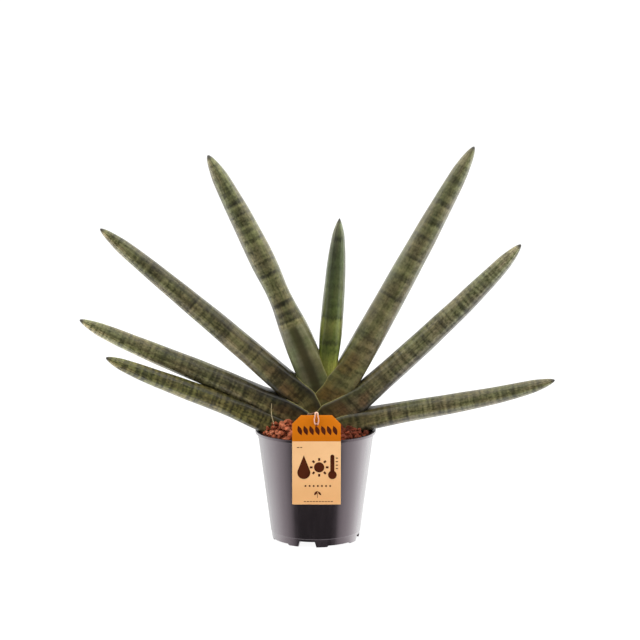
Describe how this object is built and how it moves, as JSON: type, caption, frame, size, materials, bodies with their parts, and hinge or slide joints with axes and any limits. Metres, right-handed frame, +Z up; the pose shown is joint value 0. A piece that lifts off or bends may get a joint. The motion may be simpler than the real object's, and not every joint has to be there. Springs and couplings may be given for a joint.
{
  "type": "potted cylindrical snake plant",
  "caption": "Cylindrical snake plant with a fan of round, banded, pointed leaves in a black nursery pot topped with clay granules, with a hang tag.",
  "frame": {"origin": "on the floor at the pot's axis", "axes": "+Z up, the front with the tag faces -Y, and the leaves spread along X"},
  "size_m": [0.4683, 0.1243, 0.3898],
  "materials": {
    "pot": "satin moulded",
    "leaf_centre": "waxy skin with cross bands",
    "leaf_left_1": "waxy skin with cross bands",
    "leaf_right_1": "waxy skin with cross bands",
    "leaf_left_2": "waxy skin with cross bands",
    "leaf_right_2": "waxy skin with cross bands",
    "leaf_left_3": "waxy skin with cross bands",
    "leaf_right_3": "waxy skin with cross bands",
    "leaf_left_4": "waxy skin with cross bands",
    "rhizome": "matte",
    "potting_soil": "crumbly",
    "clay_granules": "unglazed, chipped",
    "tag_card": "smooth printed",
    "tag_string": "matte",
    "dry_fibre": "matte"
  },
  "bodies": {
    "root": {"pot": "pot", "leaf_centre": "leaf_centre", "leaf_left_1": "leaf_left_1", "leaf_right_1": "leaf_right_1", "leaf_left_2": "leaf_left_2", "leaf_right_2": "leaf_right_2", "leaf_left_3": "leaf_left_3", "leaf_right_3": "leaf_right_3", "leaf_left_4": "leaf_left_4", "rhizome": "rhizome", "potting_soil": "potting_soil", "clay_granules": "clay_granules", "tag_card": "tag_card", "tag_string": "tag_string", "dry_fibre": "dry_fibre"}
  },
  "joints": []
}
